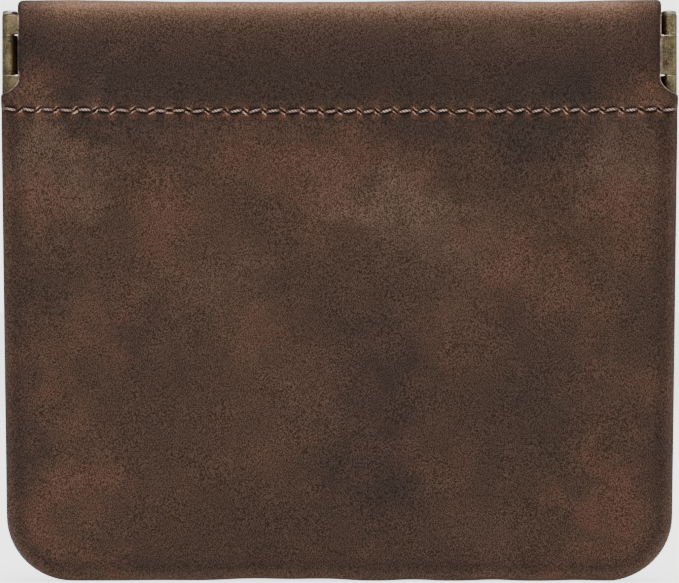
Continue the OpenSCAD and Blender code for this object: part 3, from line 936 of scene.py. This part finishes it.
leather = leather_material()
thread = thread_material()
brass = metal_material(
    "antique_brass", colour(118, 104, 76), colour(68, 59, 42), colour(214, 200, 172), 0.36, (1.0, 1.0, 6.0)
)
steel = metal_material(
    "spring_steel", colour(140, 142, 146), colour(98, 98, 100), colour(176, 178, 182), 0.3, (0.3, 1.0, 6.0)
)
pin_metal = metal_material(
    "pin_brass", colour(188, 184, 170), colour(136, 130, 114), colour(236, 233, 224), 0.4, (1.0, 1.0, 1.0)
)


def dress(prefixes, material):
    """Gives a material to the frame's own nodes with these names"""
    for name, node in frame["nodes"].items():
        if name.startswith(prefixes):
            node.data.materials.clear()
            node.data.materials.append(material)


# ---- Hinges ----

# where a strip's end leaves its channel
END_X = 52.2
# the gap between two knuckles, how far its middle is from the strip's edge, and the share of it that is left
# at the outside of the hinge and next to the leather
GAP_H = 0.35
GAP_MID = 3.75 + GAP_H / 2
GAP_OUTSIDE = 0.15
GAP_INBOARD = 0.6
# the pin, the peened swelling at its foot, and its head
PIN_R = 0.75
PEEN_R = 0.92
HEAD_R = 1.24
HEAD_H = 0.66
HEAD_ROUND = 0.38
PIN_SIDES = 64


def hinge_end(name, capped):
    """A copy of a strip's end. Its knuckles are burred at the outside, so that they nearly meet there. A
    capped end stands lower at the top, to make room for the pin's head, and its rim is rounded."""
    node = frame["nodes"][name]
    shape = bmesh.new()
    shape.from_mesh(node.data)
    bmesh.ops.remove_doubles(shape, verts=shape.verts, dist=0.002 * MM)
    bmesh.ops.dissolve_limit(shape, angle_limit=0.01, verts=shape.verts, edges=shape.edges)
    high = max(v.co.z for v in shape.verts)
    low_top = high - HEAD_H * MM

    def on_rim(edge):
        x, y, _ = (edge.verts[0].co + edge.verts[1].co) / 2 / MM
        clear = abs(x) > END_X and math.hypot(abs(x) - PIN_X, y) > 1.0
        return clear and min(v.co.z for v in edge.verts) > low_top - 0.01 * MM and edge.calc_face_angle(0) > 1

    for gap in (STRIP_FOOT + GAP_MID, high / MM - GAP_MID):
        for v in shape.verts:
            off = v.co.z / MM - gap
            if abs(off) < 0.2:
                share = GAP_OUTSIDE if abs(v.co.x) / MM > PIN_X - 0.5 else GAP_INBOARD
                v.co.z = (gap + share * off) * MM
    if capped:
        way = math.copysign(1, sum(v.co.x for v in shape.verts))
        whole = shape.verts[:] + shape.edges[:] + shape.faces[:]
        bmesh.ops.bisect_plane(shape, geom=whole, plane_co=(way * END_X * MM, 0, 0), plane_no=(1, 0, 0))
        for v in shape.verts:
            if v.co.z > high - 0.01 * MM and abs(v.co.x) > (END_X - 0.01) * MM:
                v.co.z = low_top
        rim = [edge for edge in shape.edges if on_rim(edge)]
        rounding = {"offset": 0.1 * MM, "segments": 3, "profile": 0.5, "affect": "EDGES"}
        bmesh.ops.bevel(shape, geom=rim, clamp_overlap=False, **rounding)
    mesh = bpy.data.meshes.new(f"{name}_end")
    shape.to_mesh(mesh)
    shape.free()
    shade_smooth(mesh)
    mesh.set_sharp_from_angle(angle=math.radians(30))
    mesh.materials.append(brass)
    piece = add_object(mesh.name, mesh)
    piece.matrix_world = node.matrix_world.copy()
    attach(piece, body_of(node)[0])
    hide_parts(name)


def pin_profile():
    """Half the outline of a pin, as (radius, z) from its foot up to the top of its head"""
    seat = STRIP_TOP - HEAD_H
    profile = [(0, PIN_FOOT), (PIN_R, PIN_FOOT), (PEEN_R, STRIP_FOOT - 0.05), (PIN_R, STRIP_FOOT - 0.05)]
    profile += [(PIN_R, seat + 0.04), (HEAD_R - 0.04, seat + 0.04), (HEAD_R, seat + 0.08)]
    for turn in np.linspace(0, math.pi / 2, 8):
        r = HEAD_R - HEAD_ROUND * (1 - math.cos(turn))
        profile.append((r, STRIP_TOP + 0.03 - HEAD_ROUND * (1 - math.sin(turn))))
    return profile + [(0.5, STRIP_TOP + 0.07), (0.25, STRIP_TOP + 0.09), (0, STRIP_TOP + 0.1)]


def hinge_pin(side):
    """A copy of a hinge pin. Its head is as wide as the knuckle below it, low, and rounded over its rim."""
    name = f"{side}_hinge_pin"
    middle = -PIN_X if side == "left" else PIN_X
    profile = pin_profile()
    turns = np.linspace(0, 2 * math.pi, PIN_SIDES + 1)[:-1]
    points = [(middle, 0, profile[0][1])]
    for r, z in profile[1:-1]:
        points += [(middle + r * math.cos(a), r * math.sin(a), z) for a in turns]
    points.append((middle, 0, profile[-1][1]))
    last = len(points) - 1
    faces = []
    for i in range(PIN_SIDES):
        j = (i + 1) % PIN_SIDES
        faces += [(0, 1 + j, 1 + i), (last, last - PIN_SIDES + i, last - PIN_SIDES + j)]
        for low in range(1, last - PIN_SIDES, PIN_SIDES):
            faces.append((low + i, low + j, low + PIN_SIDES + j, low + PIN_SIDES + i))
    mesh = bpy.data.meshes.new(f"{name}_turned")
    mesh.from_pydata((np.array(points) * MM).tolist(), [], faces)
    shade_smooth(mesh)
    mesh.set_sharp_from_angle(angle=math.radians(40))
    mesh.materials.append(pin_metal)
    piece = add_object(mesh.name, mesh)
    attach(piece, body_of(frame["nodes"][name])[0])
    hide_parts(name)


hinge_end("front_strip_1", True)
hinge_end("back_strip_7", True)
hinge_end("front_strip_7", False)
hinge_end("back_strip_1", False)
hinge_pin("left")
hinge_pin("right")
dress(("front_strip", "back_strip"), brass)
dress(("front_spring", "back_spring"), steel)
dress(("seam_thread",), seam_material())

# ---- Build the soft pieces ----

for face, side in QUARTERS:
    piece, x, depth, z = quarter_mesh(face, side)
    piece.data.materials.append(leather)
    bend(piece, face, side, bend_weight(x, depth, z, side))
    links = [k for k in range(1, 8) if (k <= 4 if side == "left" else k >= 4)]
    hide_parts(f"{face}_panel", f"{face}_{side}_wall", *[f"{face}_channel_{k}" for k in links])

    piece, x, depth, z = stitch_mesh(face, side)
    piece.data.materials.append(thread)
    bend(piece, face, side, bend_weight(x, depth, z, side))
    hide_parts(f"{face}_{side}_stitches")


# ---- Floor, light and camera ----


def floor():
    """A plain pale floor, lit up a little so that it comes close to the paper behind it"""
    m = Nodes("floor")
    at = m.add("TexCoord", output=3)
    tint = m.mix(m.range(m.noise(at, 3.0, 2), 0.4, 0.6), colour(238, 238, 237), colour(244, 244, 243))
    glow = m.range(m.add("LightPath"), 0, 1, 0.8, 2.2)
    material = m.done(Base_Color=tint, Roughness=0.9, Emission_Color=(1, 1, 1, 1), Emission_Strength=glow)
    mesh = bpy.data.meshes.new("floor")
    mesh.from_pydata([(-9, -9, 0), (9, -9, 0), (9, 9, 0), (-9, 9, 0)], [], [(0, 1, 2, 3)])
    mesh.materials.append(material)
    add_object("floor", mesh)


def lamp(name, place, size, power):
    """A soft square light that faces the middle of the purse"""
    light = bpy.data.lights.new(name, "AREA")
    light.shape, light.size, light.energy = "SQUARE", size, power
    made = add_object(name, light)
    made.location = place
    target = Vector((0, 0, TOP / 2 * MM))
    made.rotation_euler = (target - Vector(place)).to_track_quat("-Z", "Y").to_euler()


def studio(fill, paper):
    """White surroundings: a soft fill light, which the camera itself sees as bright paper"""
    world = bpy.data.worlds.new("studio")
    world.use_nodes = True
    tree = world.node_tree
    pick = tree.nodes.new("ShaderNodeMixShader")
    looked_at = tree.nodes.new("ShaderNodeLightPath").outputs["Is Camera Ray"]
    tree.links.new(looked_at, pick.inputs[0])
    backgrounds = [tree.nodes["Background"], tree.nodes.new("ShaderNodeBackground")]
    for k, (background, strength) in enumerate(zip(backgrounds, (fill, paper))):
        background.inputs["Color"].default_value = (1, 1, 1, 1)
        background.inputs["Strength"].default_value = strength
        tree.links.new(background.outputs[0], pick.inputs[1 + k])
    tree.links.new(pick.outputs[0], tree.nodes["World Output"].inputs["Surface"])
    bpy.context.scene.world = world


def add_camera(away, height, seen_w):
    """A level camera in front of the purse. It sees this width half way between the middle and the front."""
    camera = bpy.data.cameras.new("camera")
    camera.sensor_width = 36
    camera.lens = 36 * (away - SKIN / 2 * MM) / seen_w
    camera.clip_start, camera.clip_end = 0.01, 50
    viewer = add_object("camera", camera)
    viewer.location = (0, -away, height)
    viewer.rotation_euler = (math.pi / 2, 0, 0)
    bpy.context.scene.camera = viewer


floor()
lamp("top_light", (0.03, -0.12, 0.75), 0.4, 5.0)
lamp("front_light", (-0.35, -0.8, 0.55), 0.5, 3.0)
lamp("side_light", (0.8, -0.15, 0.15), 0.3, 0.7)
lamp("back_light", (0.3, 0.8, 0.6), 0.5, 3.0)
studio(fill=0.5, paper=3.3)
add_camera(away=0.7, height=47.04 * MM, seen_w=110.34 * MM)
